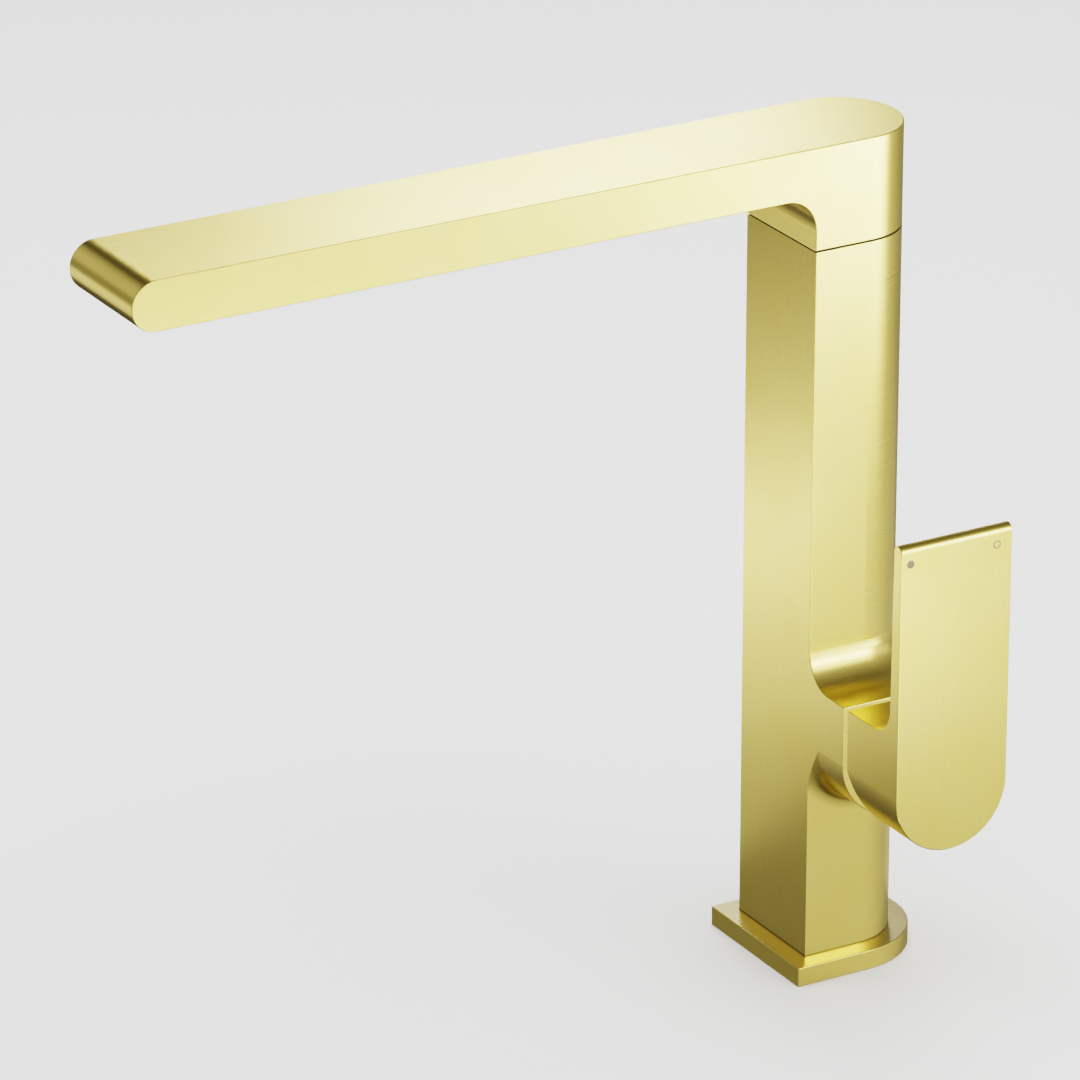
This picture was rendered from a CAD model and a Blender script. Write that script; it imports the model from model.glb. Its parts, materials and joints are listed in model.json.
import bmesh
import bpy
import json
import math
from mathutils import Matrix, Vector


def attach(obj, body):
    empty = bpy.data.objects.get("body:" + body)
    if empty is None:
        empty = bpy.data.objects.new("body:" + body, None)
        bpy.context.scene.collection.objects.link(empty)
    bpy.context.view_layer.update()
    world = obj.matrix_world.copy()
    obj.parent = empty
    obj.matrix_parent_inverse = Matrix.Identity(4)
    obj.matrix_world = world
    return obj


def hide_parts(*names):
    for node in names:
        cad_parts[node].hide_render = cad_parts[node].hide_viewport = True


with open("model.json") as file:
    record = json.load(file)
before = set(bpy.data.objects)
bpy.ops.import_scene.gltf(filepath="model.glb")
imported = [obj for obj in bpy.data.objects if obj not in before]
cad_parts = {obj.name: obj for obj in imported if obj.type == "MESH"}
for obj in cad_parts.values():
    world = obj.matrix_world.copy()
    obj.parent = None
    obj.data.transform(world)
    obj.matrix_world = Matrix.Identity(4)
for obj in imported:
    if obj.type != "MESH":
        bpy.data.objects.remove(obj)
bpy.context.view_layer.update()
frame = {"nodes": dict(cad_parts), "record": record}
nodes = frame["nodes"]

# ---- camera ----

VIEW_AZIMUTH = math.radians(60.0)       # from the spout's tip round towards the lever
VIEW_ELEVATION = math.radians(22.8)
VIEW_DISTANCE = 2.441
VIEW_TARGET = Vector((0.0, -0.1155, 0.1755))
LENS = 243.2
TO_CAMERA = Vector((
    math.sin(VIEW_AZIMUTH) * math.cos(VIEW_ELEVATION),
    -math.cos(VIEW_AZIMUTH) * math.cos(VIEW_ELEVATION),
    math.sin(VIEW_ELEVATION)))


def make_camera():
    camera = bpy.data.objects.new("camera", bpy.data.cameras.new("camera"))
    bpy.context.scene.collection.objects.link(camera)
    camera.data.lens = LENS
    camera.data.sensor_width = 36.0
    camera.data.clip_end = 50.0
    camera.location = VIEW_TARGET + TO_CAMERA * VIEW_DISTANCE
    camera.rotation_mode = "QUATERNION"
    camera.rotation_quaternion = (-TO_CAMERA).to_track_quat("-Z", "Y")
    bpy.context.scene.camera = camera


# ---- shader building ----

class Field:
    """A number that varies over a surface: a node's output that takes part in sums and products."""

    def __init__(self, finish, socket):
        self.finish = finish
        self.socket = socket

    def _with(self, operation, first, second):
        return self.finish.node("ShaderNodeMath", {"operation": operation}, {0: first, 1: second})

    def __add__(self, other):
        return self._with("ADD", self, other)

    __radd__ = __add__

    def __sub__(self, other):
        return self._with("SUBTRACT", self, other)

    def __rsub__(self, other):
        return self._with("SUBTRACT", other, self)

    def __mul__(self, other):
        return self._with("MULTIPLY", self, other)

    __rmul__ = __mul__

    def __truediv__(self, other):
        return self._with("DIVIDE", self, other)

    def __rtruediv__(self, other):
        return self._with("DIVIDE", other, self)

    def __abs__(self):
        return self._with("ABSOLUTE", self, 0.0)

    def smooth(self, low, high):
        """0 below low, 1 above high, with an eased change between them."""
        return self.finish.node("ShaderNodeMapRange", {"interpolation_type": "SMOOTHSTEP"},
                                {"Value": self, "From Min": low, "From Max": high})


class Finish:
    """One material and the nodes that make it."""

    def __init__(self, name):
        self.material = bpy.data.materials.new(name)
        self.material.use_nodes = True
        self.nodes = self.material.node_tree.nodes
        self.links = self.material.node_tree.links
        self.shader = self.nodes["Principled BSDF"]
        self.place = self.node("ShaderNodeTexCoord", output="Object")

    def put(self, sockets, values):
        for key, value in values.items():
            if isinstance(value, Field):
                self.links.new(value.socket, sockets[key])
            else:
                sockets[key].default_value = value

    def node(self, kind, settings=None, values=None, output=0):
        """Add a node: its settings first, then the values or links of its inputs."""
        made = self.nodes.new(kind)
        for key, value in (settings or {}).items():
            setattr(made, key, value)
        self.put(made.inputs, values or {})
        return Field(self, made.outputs[output])

    def surface(self, **values):
        self.put(self.shader.inputs, {key.replace("_", " "): value for key, value in values.items()})

    def noise(self, scale, stretch=(1.0, 1.0, 1.0), detail=2.0, roughness=0.5):
        """Noise in the object's own place; stretch is how many times finer it runs along X, Y and Z."""
        place = self.node("ShaderNodeMapping", values={"Vector": self.place, "Scale": stretch})
        return self.node("ShaderNodeTexNoise", values={
            "Vector": place, "Scale": scale, "Detail": detail, "Roughness": roughness})

    def blend(self, factor, first, second):
        """Mix two colours."""
        made = self.nodes.new("ShaderNodeMix")
        made.data_type = "RGBA"
        self.put(made.inputs, {0: factor, 6: first, 7: second})
        return Field(self, made.outputs[2])

    def choose(self, mask, first, second):
        """first where mask is 0, second where it is 1."""
        return first * (1.0 - mask) + second * mask

    def bump(self, height, distance):
        self.surface(Normal=self.node("ShaderNodeBump", values={"Height": height, "Distance": distance}))

    def parts_of(self, vector):
        """The X, Y and Z of a vector, each as a Field."""
        split = self.node("ShaderNodeSeparateXYZ", values={"Vector": vector}).socket.node
        return [Field(self, socket) for socket in split.outputs]

    def edges(self, reach):
        """1 along the edges of the shape, within this distance, and 0 on its faces."""
        rounded = self.node("ShaderNodeBevel", {"samples": 4}, {"Radius": reach})
        along = self.node("ShaderNodeVectorMath", {"operation": "DOT_PRODUCT"},
                          {0: rounded, 1: self.facing()}, "Value")
        return (1.0 - along).smooth(0.02, 0.2)

    def facing(self):
        """The face's own direction, without bump."""
        return self.node("ShaderNodeNewGeometry", output="True Normal")


# ---- finishes ----

GOLD = (0.955, 0.775, 0.272, 1.0)
GOLD_WARM = (0.94, 0.752, 0.242, 1.0)
GOLD_PALE = (0.965, 0.80, 0.32, 1.0)
GOLD_WORN = (0.985, 0.86, 0.44, 1.0)
GOLD_SHADED = (0.30, 0.20, 0.04, 1.0)
GOLD_PLATE = (0.74, 0.66, 0.46, 1.0)
GOLD_ROUGHNESS = 0.285
SEAM_Z = 0.0071             # the fine dark joint where the column stands on its plate
SEAM_REACH = 0.00045
FINE, LONG = 2400.0, 60.0   # brush strokes to the metre, across and along
STROKE_DEPTH = 0.0000013
CLOUDS = 38.0               # soft changes of tone to the metre
GOLD_EDGE = 0.0006          # how far the wear reaches in from an edge


def brushed_gold(name, direction, jointed=False, plate=False):
    """Brushed gold; direction is "column", "spout" or "lever" and sets how the brush strokes run.

    A jointed piece has the dark joint line at its foot; a plate has a duller top.
    """
    gold = Finish(name)
    y, z = gold.parts_of(gold.facing())[1:]
    around = gold.noise(1.0, (LONG, LONG, FINE), 3.0)
    upright = gold.noise(1.0, (FINE, FINE, LONG), 3.0)
    lengthwise = gold.noise(1.0, (FINE, LONG, FINE), 3.0)
    flat_front = (0.0 - y).smooth(0.9, 0.98)
    flat_top = z.smooth(0.7, 0.9)
    if direction == "column":
        strokes = gold.choose(flat_front, around, upright)
    elif direction == "lever":
        strokes = gold.choose(flat_top, upright, lengthwise)
    else:
        sides = gold.choose(flat_front, lengthwise, around)
        strokes = gold.choose(abs(z).smooth(0.5, 0.8), sides, lengthwise)
    cloud = gold.noise(CLOUDS, detail=3.0)
    wear = gold.edges(GOLD_EDGE)
    tone = gold.blend(cloud.smooth(0.3, 0.7), GOLD, GOLD_WARM)
    tone = gold.blend((strokes - 0.42) * 0.7, tone, GOLD_PALE)
    tone = gold.blend(wear * 0.6, tone, GOLD_WORN)
    if plate:
        tone = gold.blend(flat_top * 0.7, tone, GOLD_PLATE)
    if jointed:
        height = gold.parts_of(gold.place)[2]
        seam = 1.0 - abs(height - SEAM_Z).smooth(SEAM_REACH / 2, SEAM_REACH)
        tone = gold.blend(seam * 0.75, tone, GOLD_SHADED)
    rough = GOLD_ROUGHNESS + (strokes - 0.5) * 0.06 + (cloud - 0.5) * 0.03 - wear * 0.05
    gold.surface(Base_Color=tone, Metallic=1.0, Roughness=rough)
    gold.bump(strokes, STROKE_DEPTH)
    return gold.material


BARE_EDGE = 0.0004
METALS = {
    # tone, darker tone, brighter tone, roughness, marks to the metre (across, along Z), depth of the marks
    "raw_brass": ((0.78, 0.56, 0.28, 1.0), (0.66, 0.44, 0.19, 1.0), (0.88, 0.68, 0.38, 1.0),
                  0.34, (140.0, 3600.0), 0.000004),
    "copper_tube": ((0.80, 0.42, 0.28, 1.0), (0.66, 0.31, 0.19, 1.0), (0.90, 0.55, 0.40, 1.0),
                    0.28, (2600.0, 70.0), 0.000003),
    "stainless": ((0.62, 0.61, 0.60, 1.0), (0.52, 0.51, 0.50, 1.0), (0.74, 0.73, 0.72, 1.0),
                  0.30, (2200.0, 2200.0), 0.000004),
}
MOULDINGS = {
    # tone, shaded tone, worn tone, roughness, grains to the metre, depth of the grain
    "black_rubber": ((0.022, 0.022, 0.023, 1.0), (0.035, 0.034, 0.033, 1.0), (0.06, 0.058, 0.055, 1.0),
                     0.74, 2600.0, 0.000012),
    "black_nylon": ((0.03, 0.03, 0.032, 1.0), (0.045, 0.044, 0.043, 1.0), (0.08, 0.08, 0.08, 1.0),
                    0.48, 1800.0, 0.000006),
    "white_plastic": ((0.80, 0.80, 0.78, 1.0), (0.74, 0.735, 0.70, 1.0), (0.86, 0.86, 0.84, 1.0),
                      0.42, 1500.0, 0.000005),
    "ceramic": ((0.86, 0.85, 0.83, 1.0), (0.80, 0.79, 0.76, 1.0), (0.90, 0.89, 0.87, 1.0),
                0.20, 3000.0, 0.000001),
    "dark_enamel": ((0.33, 0.29, 0.17, 1.0), (0.27, 0.235, 0.13, 1.0), (0.38, 0.33, 0.20, 1.0),
                    0.42, 4000.0, 0.000002),
}


def worked_metal(name, tone, dark, bright, roughness, cuts, depth):
    """Bare metal with turning or drawing marks."""
    metal = Finish(name)
    across, along = cuts
    marks = metal.noise(1.0, (across, across, along), 3.0, 0.6)
    cloud = metal.noise(90.0, detail=4.0)
    wear = metal.edges(BARE_EDGE)
    colour = metal.blend(cloud.smooth(0.3, 0.72), tone, dark)
    colour = metal.blend((marks - 0.4) * 0.8, colour, bright)
    colour = metal.blend(wear * 0.7, colour, bright)
    rough = roughness + (marks - 0.5) * 0.16 + (cloud - 0.5) * 0.10 - wear * 0.08
    metal.surface(Base_Color=colour, Metallic=1.0, Roughness=rough)
    metal.bump(marks, depth)
    return metal.material


def moulded(name, tone, shade, worn, roughness, grain, depth):
    """Plastic, rubber, ceramic or enamel: an even body with a fine grain."""
    body = Finish(name)
    fine = body.noise(grain, detail=4.0, roughness=0.6)
    cloud = body.noise(120.0, detail=2.0)
    wear = body.edges(BARE_EDGE)
    colour = body.blend(cloud.smooth(0.25, 0.75), tone, shade)
    colour = body.blend((fine - 0.5) * 0.5, colour, shade)
    colour = body.blend(wear * 0.5, colour, worn)
    rough = roughness + (fine - 0.5) * 0.14 + (cloud - 0.5) * 0.08 - wear * 0.06
    body.surface(Base_Color=colour, Metallic=0.0, Roughness=rough)
    body.bump(fine, depth)
    return body.material


def make_finishes():
    """A finish for each of the record's material slots, with brushed gold in several brushings."""
    made = {
        "brushed_gold": brushed_gold("brushed_gold", "column"),
        "brushed_gold_plate": brushed_gold("brushed_gold_plate", "column", plate=True),
        "brushed_gold_column": brushed_gold("brushed_gold_column", "column", jointed=True),
        "brushed_gold_spout": brushed_gold("brushed_gold_spout", "spout"),
        "brushed_gold_lever": brushed_gold("brushed_gold_lever", "lever"),
    }
    for name, look in METALS.items():
        made[name] = worked_metal(name, *look)
    for name, look in MOULDINGS.items():
        made[name] = moulded(name, *look)
    return made


SPECIAL_FINISHES = {
    "base_plate": "brushed_gold_plate",
    "column_shell": "brushed_gold_column",
    "spout_shell": "brushed_gold_spout",
    "handle_lever": "brushed_gold_lever",
    "handle_plug": "brushed_gold_lever",
}


def coat_nodes():
    """Give each node the finish of its material slot."""
    for part in frame["record"]["subparts"]:
        shape = nodes[part["node"]].data
        shape.materials.clear()
        shape.materials.append(finishes[SPECIAL_FINISHES.get(part["node"], part["material_slot"])])


# ---- stage and light ----

FLOOR_TONE, FLOOR_PALE = (0.86, 0.86, 0.86, 1.0), (0.88, 0.88, 0.88, 1.0)
FLOOR_SIZE, FLOOR_Z = 12.0, -0.0002
BACKDROP_RADIUS, BACKDROP_LIGHT = 7.0, 3.0


def mirrored(normal):
    """The way in which a flat face with this normal reflects the camera's line of sight."""
    normal = Vector(normal)
    return 2.0 * normal.dot(TO_CAMERA) * normal - TO_CAMERA


def add_light(name, size, radiance):
    """A softbox that is seen only in reflections; its radiance is even over its face."""
    data = bpy.data.lights.new(name, "AREA")
    data.shape = "RECTANGLE"
    data.size, data.size_y = size
    data.energy = size[0] * size[1] * math.pi * radiance
    light = bpy.data.objects.new(name, data)
    bpy.context.scene.collection.objects.link(light)
    light.visible_camera = False
    light.rotation_mode = "QUATERNION"
    return light


def softbox(name, place, aim, size, radiance):
    light = add_light(name, size, radiance)
    light.location = place
    light.rotation_quaternion = (Vector(aim) - Vector(place)).to_track_quat("-Z", "Y")
    return light


def table_strip(name, start, glance, near, far, left, right, radiance):
    """A glowing strip at table height, across the horizontal part of a glance."""
    along = Vector((glance[0], glance[1], 0.0)).normalized()
    aside = Vector((-along.y, along.x, 0.0))
    light = add_light(name, (right - left, far - near), radiance)
    light.location = Vector(start) + along * (near + far) / 2 + aside * (left + right) / 2
    axes = Matrix((aside, along, Vector((0, 0, -1)))).transposed()
    light.rotation_quaternion = axes.to_quaternion()
    return light


STRIP_Z = -0.01     # the strips lie a little under the table, so none is cut by the base
FRONT, RIGHT, CENTRE = (0, -0.022), (0.022, 0), (0, 0)      # the column's faces and its middle
LEFTWARDS, RIGHTWARDS = (-0.80, -0.46), (0.80, 0.46)        # where its front and right face shine from
AWAY = (-0.80, 0.46)                                        # where the spout's top shines from
ROOM = (((1, 0, 0), 0.347), ((-1, 0, 0), 0.064), ((0, 1, 0), 0.238), ((0, -1, 0), 0.274))
STRIPS = (
    # name, starts at, glance, near, far, left, right, radiance
    ("front_strip_near", FRONT, LEFTWARDS, 0.22, 0.34, -0.12, 0.35, 0.52),
    ("front_strip_middle", FRONT, LEFTWARDS, 0.34, 0.48, -0.12, 0.35, 1.40),
    ("front_strip_far", FRONT, LEFTWARDS, 0.48, 0.70, -0.12, 0.35, 0.30),
    ("side_strip_foot", RIGHT, RIGHTWARDS, 0.02, 0.20, -0.05, 0.55, 0.14),
    ("side_strip_near", RIGHT, RIGHTWARDS, 0.20, 0.34, -0.05, 0.55, 0.185),
    ("side_strip_far_left", RIGHT, RIGHTWARDS, 0.75, 1.20, -0.65, -0.05, 0.307),
    ("side_strip_far_right", RIGHT, RIGHTWARDS, 0.75, 1.20, -0.05, 0.55, 6.74),
    ("side_strip_ahead", RIGHT, (1.0, -0.2), 0.30, 0.60, -0.30, 0.30, 2.09),
    ("side_strip_rear", RIGHT, (0.35, 0.93), 0.60, 1.20, -0.45, 0.45, 0.12),
    ("back_strip", CENTRE, (-0.866, 0.5), 0.05, 0.30, -0.25, 0.25, 0.235),
)
BACK_MIDDLE, BACK_ASIDE = Vector((-1.04, 0.4825, 0.0)), Vector((0.5, 0.866, 0.0))
BACK_BOXES = (
    # name, step aside, height, size, radiance: seen in the top of the spout
    ("back_high_softbox", -0.20, 1.25, (0.16, 0.50), 6.68),
    ("back_middle_softbox", -0.06, 0.85, (0.12, 0.30), 3.01),
    ("back_low_softbox", 0.075, 0.85, (0.15, 0.30), 5.04),
)
SIDE_BOXES = (
    # name, direction from the mixer, size, radiance
    ("right_low_softbox", (0.863, 0.498, 0.087), (0.6, 0.3), 3.78),
    ("right_middle_softbox", (0.814, 0.470, 0.342), (0.6, 0.3), 1.35),
    ("rear_low_softbox", (0.421, 0.903, 0.087), (0.6, 0.3), 0.364),
    ("left_softbox", (-0.791, -0.454, 0.409), (0.7, 0.5), 0.26),
)
BOX_TARGET, BOX_DISTANCE = Vector((0.0, -0.1, 0.2)), 1.1
TIP, TIP_DISTANCE = Vector((0.0, -0.277, 0.296)), 0.8
TIP_SIZE, TIP_RADIANCE = (0.45, 0.30), 0.55
OVERHEAD, OVERHEAD_SIZE, OVERHEAD_RADIANCE = Vector((0.0, -0.1, 3.0)), (4.0, 4.0), 2.6


def shine_on(light, state):
    """Let a light reach only the spout's shell ("INCLUDE"), or everything but it ("EXCLUDE")."""
    group = bpy.data.collections.new(light.name + "_reach")
    group.objects.link(nodes["spout_shell"])
    group.collection_objects[0].light_linking.link_state = state
    light.light_linking.receiver_collection = group


def make_lights():
    for name, start, glance, near, far, left, right, radiance in STRIPS:
        place = (start[0], start[1], STRIP_Z)
        strip = table_strip(name, place, glance, near, far, left, right, radiance)
        if name.startswith("front"):
            shine_on(strip, "EXCLUDE")
    for name, step, height, size, radiance in BACK_BOXES:
        place = BACK_MIDDLE + BACK_ASIDE * step + Vector((0, 0, height))
        softbox(name, place, place - Vector((*AWAY, 0.0)), size, radiance)
    for name, direction, size, radiance in SIDE_BOXES:
        softbox(name, BOX_TARGET + Vector(direction) * BOX_DISTANCE, BOX_TARGET, size, radiance)
    ahead = TIP + mirrored((0, -1, 0)) * TIP_DISTANCE
    shine_on(softbox("tip_softbox", ahead, TIP, TIP_SIZE, TIP_RADIANCE), "INCLUDE")
    below = OVERHEAD - Vector((0, 0, OVERHEAD.z))
    overhead = softbox("floor_light", OVERHEAD, below, OVERHEAD_SIZE, OVERHEAD_RADIANCE)
    overhead.visible_glossy = False


def hide_from_metal(thing):
    thing.visible_glossy = False
    thing.visible_diffuse = False
    thing.visible_shadow = False


def make_room():
    """The dim room round the table: brighter on some sides than on others."""
    world = bpy.data.worlds.new("studio")
    bpy.context.scene.world = world
    world.use_nodes = True
    nodes, links = world.node_tree.nodes, world.node_tree.links
    way = nodes.new("ShaderNodeTexCoord").outputs["Generated"]
    total = None
    for axis, weight in ROOM:
        side = nodes.new("ShaderNodeVectorMath")
        side.operation = "DOT_PRODUCT"
        side.inputs[1].default_value = axis
        links.new(way, side.inputs[0])
        lit = nodes.new("ShaderNodeMath")
        lit.operation = "MULTIPLY"
        lit.use_clamp = True
        lit.inputs[1].default_value = weight
        links.new(side.outputs["Value"], lit.inputs[0])
        if total is None:
            total = lit.outputs[0]
            continue
        both = nodes.new("ShaderNodeMath")
        links.new(total, both.inputs[0])
        links.new(lit.outputs[0], both.inputs[1])
        total = both.outputs[0]
    background = nodes["Background"]
    background.inputs["Color"].default_value = (1.0, 1.0, 1.0, 1.0)
    links.new(total, background.inputs["Strength"])


def pale_paper():
    """The floor's finish: matt paper that is clear from below."""
    paper = Finish("pale_paper")
    tone = paper.blend(paper.noise(3.0), FLOOR_TONE, FLOOR_PALE)
    paper.surface(Base_Color=tone, Roughness=0.95, Specular_IOR_Level=0.1)
    seen_below = paper.node("ShaderNodeNewGeometry", output="Backfacing")
    clear = paper.node("ShaderNodeBsdfTransparent")
    mixed = paper.node("ShaderNodeMixShader", values={
        0: seen_below, 1: Field(paper, paper.shader.outputs[0]), 2: clear})
    paper.links.new(mixed.socket, paper.nodes["Material Output"].inputs["Surface"])
    return paper.material


def pale_backdrop():
    glow = Finish("pale_backdrop")
    glow.surface(Base_Color=(0, 0, 0, 1), Emission_Color=(1, 1, 1, 1), Emission_Strength=BACKDROP_LIGHT)
    return glow.material


def make_stage():
    bpy.ops.object.select_all(action="DESELECT")
    bpy.ops.mesh.primitive_plane_add(size=FLOOR_SIZE, location=(0, 0, FLOOR_Z))
    floor = bpy.context.active_object
    floor.name = "floor"
    floor.data.materials.append(pale_paper())
    bpy.ops.object.select_all(action="DESELECT")
    bpy.ops.mesh.primitive_uv_sphere_add(radius=BACKDROP_RADIUS, segments=48, ring_count=24)
    backdrop = bpy.context.active_object
    backdrop.name = "backdrop"
    backdrop.data.materials.append(pale_backdrop())
    for thing in (floor, backdrop):
        hide_from_metal(thing)
    make_room()
    view = bpy.context.scene.view_settings
    view.view_transform = "Filmic"
    view.look = "Very High Contrast"


# ---- modelled pieces ----

OUTLET = Vector((0.0, -0.250, 0.0))
INSERT_LOW, INSERT_HIGH = 0.2863, 0.2960
INSERT_RADIUS, INSERT_RING = 0.00945, 0.0011
HEX_PITCH, HEX_WALL, HEX_DEEP = 0.0021, 0.0002, 0.0024
HEX_STEP_BACK = 0.0006      # how far the cells lie above the ring's lip
INSERT_ROUND = 0.00015
THREADS = (
    # name, place on the underside, radius, first turn's height, pitch, depth
    ("hot_socket_thread", (-0.0045, 0.0056, 0.0), 0.0045, 0.0012, 0.001, 0.00045),
    ("cold_socket_thread", (-0.0045, -0.0056, 0.0), 0.0045, 0.0012, 0.001, 0.00045),
    ("stud_socket_thread", (0.0072, 0.0, 0.0), 0.0034, 0.0014, 0.00125, 0.00050),
)
THREAD_TURNS, THREAD_STEPS, THREAD_SUNK = 9, 40, 0.35
WELD, THREAD_WELD = 0.000002, 0.000001
GASKET_LIP, GASKET_CHANNEL, GASKET_ROUND = 0.0009, 0.0007, 0.00025
MARK_X, MARK_Z, MARK_RADIUS, MARK_DEEP = 0.078, 0.1746, 0.0015, 0.0002
MARK_LINE, MARK_ROUND, MARK_SIDES = 0.0005, 0.00006, 48
HOT_Y, COLD_Y = -0.0183, 0.0160


def alone(thing):
    bpy.ops.object.select_all(action="DESELECT")
    thing.select_set(True)
    bpy.context.view_layer.objects.active = thing


def settle(thing):
    """Put an object's place, turn and size into its mesh."""
    alone(thing)
    bpy.ops.object.transform_apply(location=True, rotation=True, scale=True)


def edit(thing):
    alone(thing)
    bpy.ops.object.mode_set(mode="EDIT")
    bpy.ops.mesh.select_mode(type="FACE")
    bpy.ops.mesh.select_all(action="DESELECT")


def pick(thing, wanted):
    """In edit mode, select the faces for which wanted(middle, normal) is true."""
    bpy.ops.mesh.select_mode(type="FACE")
    bpy.ops.mesh.select_all(action="DESELECT")
    shape = bmesh.from_edit_mesh(thing.data)
    for face in shape.faces:
        face.select_set(wanted(face.calc_center_median(), face.normal))
    bmesh.update_edit_mesh(thing.data)


def round_edges(width, segments=2, sharper=50.0):
    bpy.ops.mesh.select_mode(type="EDGE")
    bpy.ops.mesh.select_all(action="DESELECT")
    bpy.ops.mesh.edges_select_sharp(sharpness=math.radians(sharper))
    bpy.ops.mesh.bevel(offset=width, segments=segments, affect="EDGES", clamp_overlap=True)


def shaped(smooth=35.0):
    """Leave edit mode with the normals outwards and the curved faces smooth."""
    bpy.ops.mesh.select_all(action="SELECT")
    bpy.ops.mesh.normals_make_consistent(inside=False)
    bpy.ops.object.mode_set(mode="OBJECT")
    bpy.ops.object.shade_smooth_by_angle(angle=math.radians(smooth))


def disc(name, radius, low, high, centre, sides=64):
    """An upright disc between two heights."""
    bpy.ops.object.select_all(action="DESELECT")
    bpy.ops.mesh.primitive_cylinder_add(vertices=sides, radius=radius, depth=high - low,
                                        location=(centre[0], centre[1], (low + high) / 2))
    thing = bpy.context.active_object
    thing.name = name
    thing.data.name = name
    settle(thing)
    return thing


def tube(name, outer, wall, low, high, centre, sides=64):
    """An upright tube: both ends of a disc are inset and their inner faces bridged."""
    thing = disc(name, outer, low, high, centre, sides)
    edit(thing)
    pick(thing, lambda middle, normal: abs(normal.z) > 0.9)
    bpy.ops.mesh.inset(thickness=wall, use_individual=True)
    bpy.ops.mesh.bridge_edge_loops()
    return thing


def copy_of(thing, shift):
    twin = thing.copy()
    twin.data = thing.data.copy()
    bpy.context.scene.collection.objects.link(twin)
    twin.location = shift
    settle(twin)
    return twin


def joined(things, name):
    bpy.ops.object.select_all(action="DESELECT")
    for thing in things:
        thing.select_set(True)
    bpy.context.view_layer.objects.active = things[0]
    bpy.ops.object.join()
    things[0].name = name
    things[0].data.name = name
    return things[0]


def fit(thing, body, finish, replaces=None):
    thing.data.materials.clear()
    thing.data.materials.append(finish)
    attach(thing, body)
    if replaces:
        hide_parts(replaces)


def make_honeycomb():
    """The aerator's insert: a ring filled with six-sided cells."""
    ring = tube("honeycomb_insert", INSERT_RADIUS, INSERT_RING, INSERT_LOW, INSERT_HIGH, OUTLET, 72)
    round_edges(INSERT_ROUND)
    shaped()
    corner = HEX_PITCH / math.sqrt(3.0)
    floor = INSERT_LOW + HEX_STEP_BACK
    cell = tube("honeycomb_cell", corner, HEX_WALL, floor, floor + HEX_DEEP, OUTLET, 6)
    shaped(20.0)
    parts = [ring]
    for row in range(-4, 5):
        for column in range(-5, 6):
            across = HEX_PITCH * (column + 0.5 * (row % 2))
            shift = Vector((across, HEX_PITCH * row * math.sqrt(0.75), 0.0))
            if 0.0 < shift.length < INSERT_RADIUS - INSERT_RING / 2:
                parts.append(copy_of(cell, shift))
    parts.append(cell)
    insert = joined(parts, "honeycomb_insert")
    fit(insert, "spout", finishes["white_plastic"], "aerator_insert")


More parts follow.
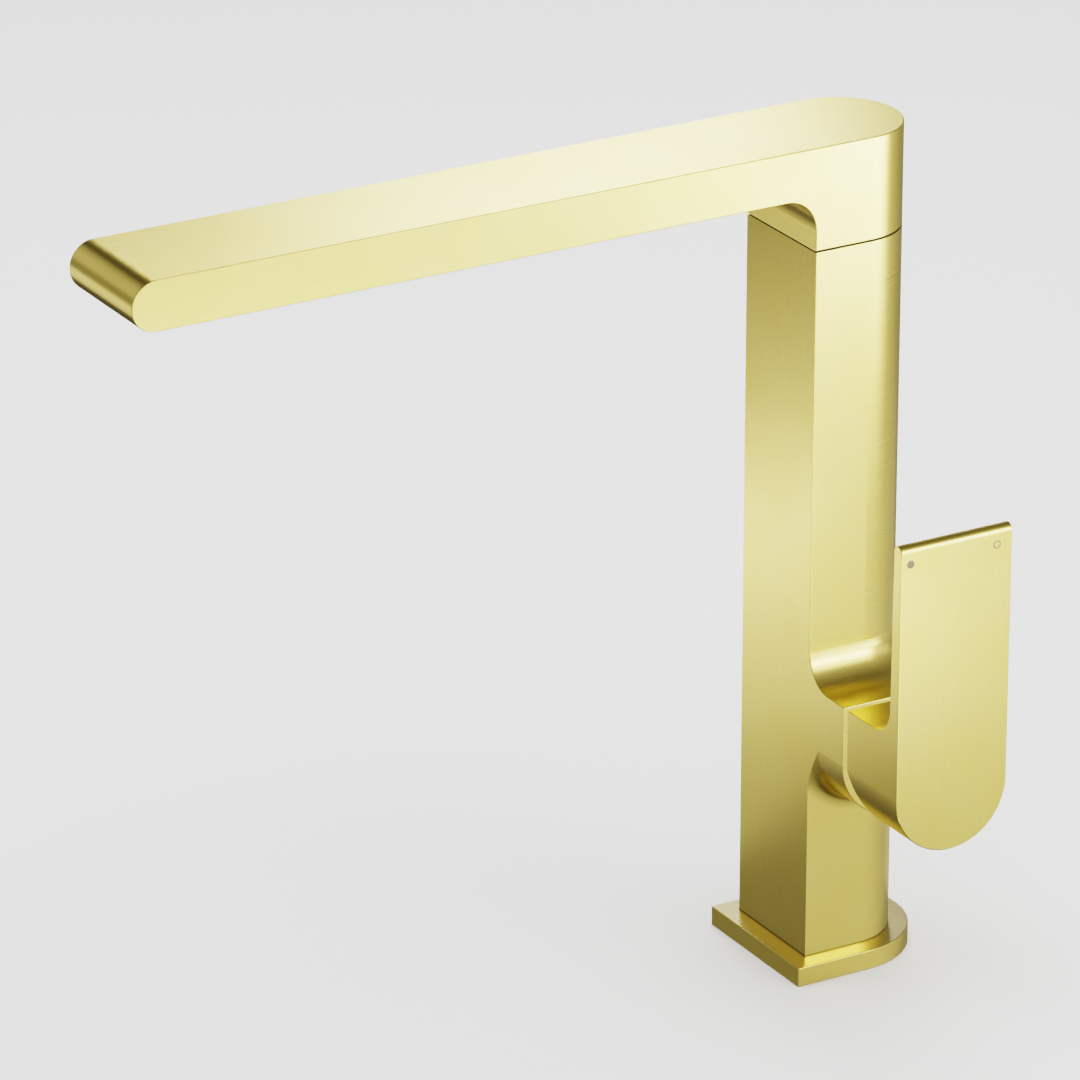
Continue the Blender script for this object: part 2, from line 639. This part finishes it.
def make_thread(name, centre, radius, low, pitch, depth):
    """The ridge of a female thread: a three-cornered profile wound round a socket's wall."""
    start = (radius - depth * THREAD_SUNK, 0, low)
    bpy.ops.object.select_all(action="DESELECT")
    bpy.ops.mesh.primitive_circle_add(vertices=3, radius=depth, fill_type="NOTHING", location=start,
                                      rotation=(math.pi / 2, 0, math.pi / 2))
    ridge = bpy.context.active_object
    ridge.name = name
    ridge.data.name = name
    settle(ridge)
    alone(ridge)
    bpy.ops.object.mode_set(mode="EDIT")
    bpy.ops.mesh.select_all(action="SELECT")
    bpy.ops.transform.rotate(value=math.pi / 2, orient_axis="Y", center_override=start)
    bpy.ops.object.mode_set(mode="OBJECT")
    wind = ridge.modifiers.new("wind", "SCREW")
    wind.axis = "Z"
    wind.angle = math.tau
    wind.screw_offset = pitch
    wind.iterations = THREAD_TURNS
    wind.steps = THREAD_STEPS
    wind.render_steps = THREAD_STEPS
    alone(ridge)
    bpy.ops.object.modifier_apply(modifier="wind")
    ridge.location = centre
    settle(ridge)
    bpy.ops.object.mode_set(mode="EDIT")
    bpy.ops.mesh.select_all(action="SELECT")
    bpy.ops.mesh.remove_doubles(threshold=THREAD_WELD)
    bpy.ops.mesh.fill_holes(sides=3)
    shaped(30.0)
    fit(ridge, "mixer_body", finishes["raw_brass"])


def make_gasket():
    """The base gasket with two soft lips under it and a shallow channel between them."""
    source = nodes["base_gasket"]
    gasket = source.copy()
    gasket.data = source.data.copy()
    gasket.name = "lipped_gasket"
    gasket.data.name = "lipped_gasket"
    bpy.context.scene.collection.objects.link(gasket)
    edit(gasket)
    bpy.ops.mesh.select_all(action="SELECT")
    bpy.ops.mesh.remove_doubles(threshold=WELD)
    bpy.ops.mesh.dissolve_limited(angle_limit=math.radians(1.0))
    pick(gasket, lambda middle, normal: normal.z < -0.9)
    bpy.ops.mesh.inset(thickness=GASKET_LIP, use_boundary=True)
    bpy.ops.transform.translate(value=(0, 0, GASKET_CHANNEL))
    round_edges(GASKET_ROUND)
    shaped()
    fit(gasket, "mixer_body", finishes["black_rubber"], "base_gasket")


def make_marks():
    """The filled dot for hot and the ring for cold, laid in the lever's face."""
    dot = disc("hot_mark", MARK_RADIUS, 0.0, MARK_DEEP, (0, 0), MARK_SIDES)
    edit(dot)
    round_edges(MARK_ROUND)
    shaped()
    ring = tube("cold_mark", MARK_RADIUS, MARK_LINE, 0.0, MARK_DEEP, (0, 0), MARK_SIDES)
    round_edges(MARK_ROUND)
    shaped()
    for mark, y in ((dot, HOT_Y), (ring, COLD_Y)):
        mark.rotation_euler = (0.0, math.pi / 2, 0.0)
        mark.location = (MARK_X - MARK_DEEP, y, MARK_Z)
        settle(mark)
    fit(dot, "lever", finishes["dark_enamel"], "temperature_marks")
    fit(ring, "lever", finishes["dark_enamel"])


def make_pieces():
    make_honeycomb()
    make_gasket()
    make_marks()
    for thread in THREADS:
        make_thread(*thread)


make_camera()
make_stage()
make_lights()
finishes = make_finishes()
coat_nodes()
make_pieces()
# The column doesn't mirror the lever's shaded back or the plate's bright top.
nodes["handle_lever"].visible_glossy = False
nodes["handle_lever"].visible_shadow = False
nodes["base_plate"].visible_glossy = False
